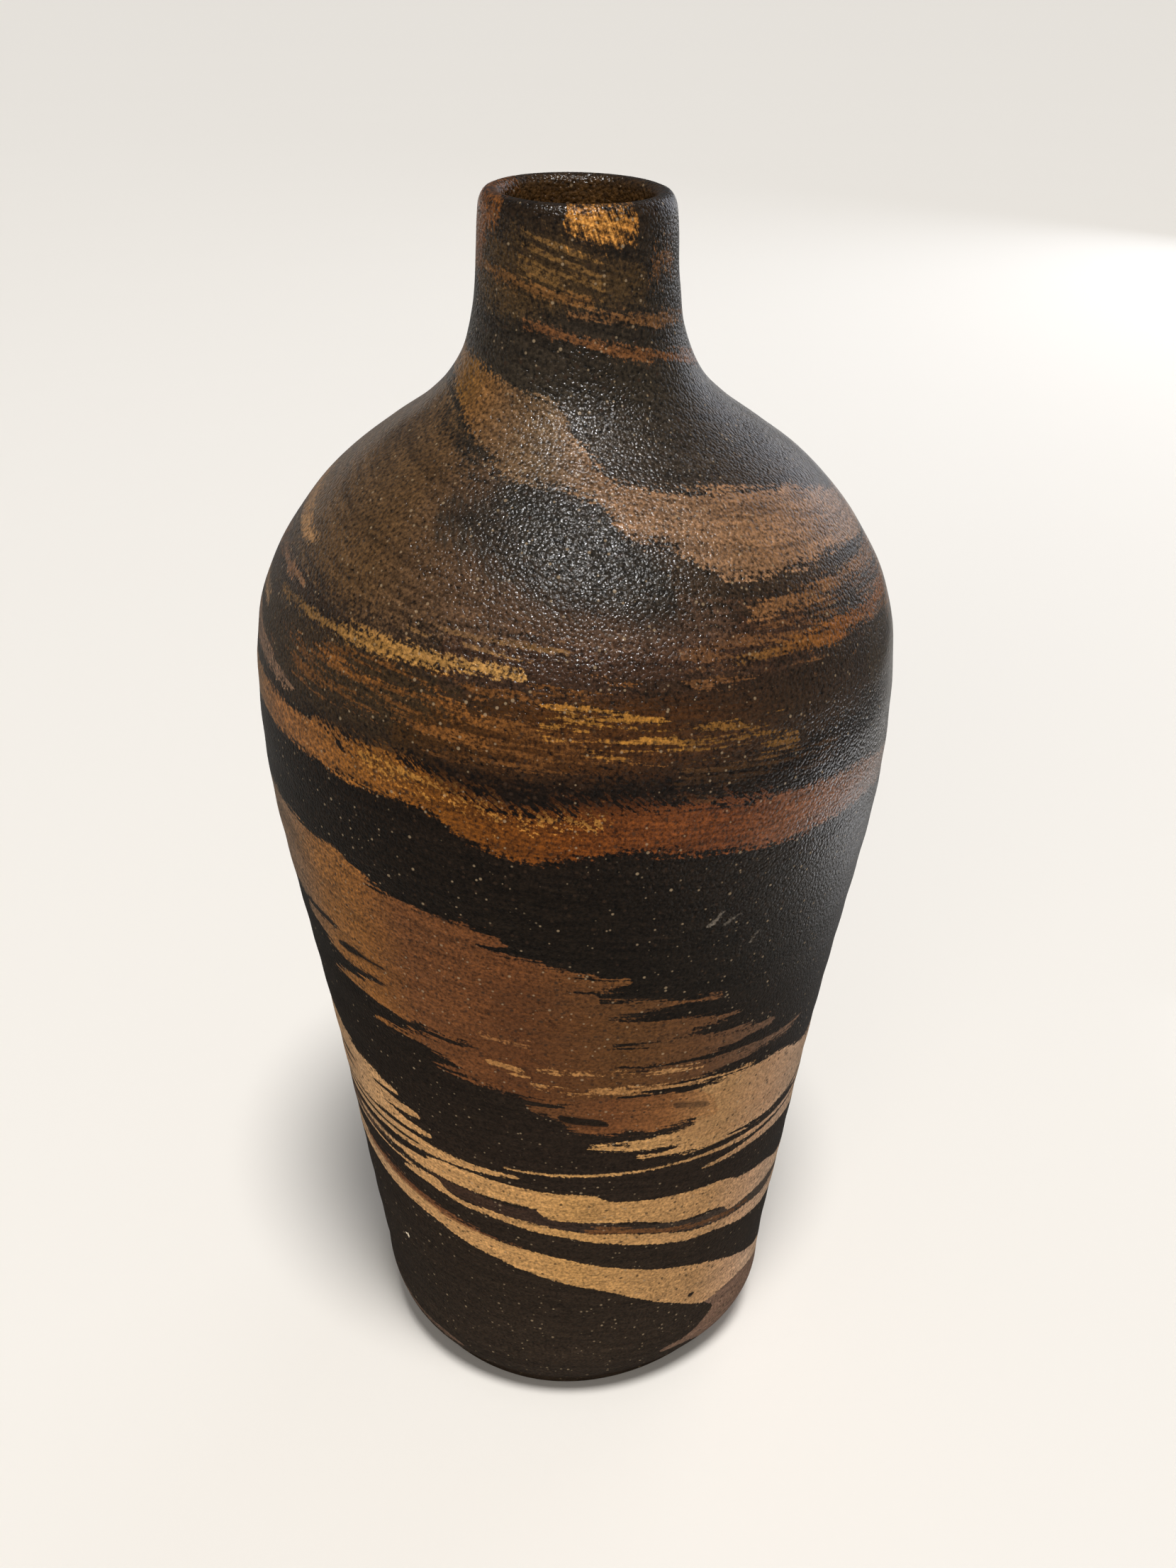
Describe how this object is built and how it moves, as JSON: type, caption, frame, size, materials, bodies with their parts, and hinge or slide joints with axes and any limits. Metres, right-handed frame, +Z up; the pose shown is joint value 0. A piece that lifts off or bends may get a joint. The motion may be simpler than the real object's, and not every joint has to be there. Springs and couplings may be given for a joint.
{
  "type": "sake bottle",
  "caption": "Tall-shouldered sake bottle (tokkuri) in marbled dark stoneware, narrow open neck with a rolled lip, for warming and pouring sake.",
  "frame": {"origin": "middle of the foot, on the surface the bottle stands on", "axes": "+Z up along the bottle's axis of turning, from foot to mouth; the body is round, so +X and +Y are free"},
  "size_m": [0.079, 0.079, 0.1605],
  "materials": {
    "marbled_stoneware": "near-black and chocolate clay marbled with ochre and tan bands, thin satin glaze on the upper half, matte fired clay below"
  },
  "bodies": {
    "root": {"bottle": "marbled_stoneware"}
  },
  "joints": []
}
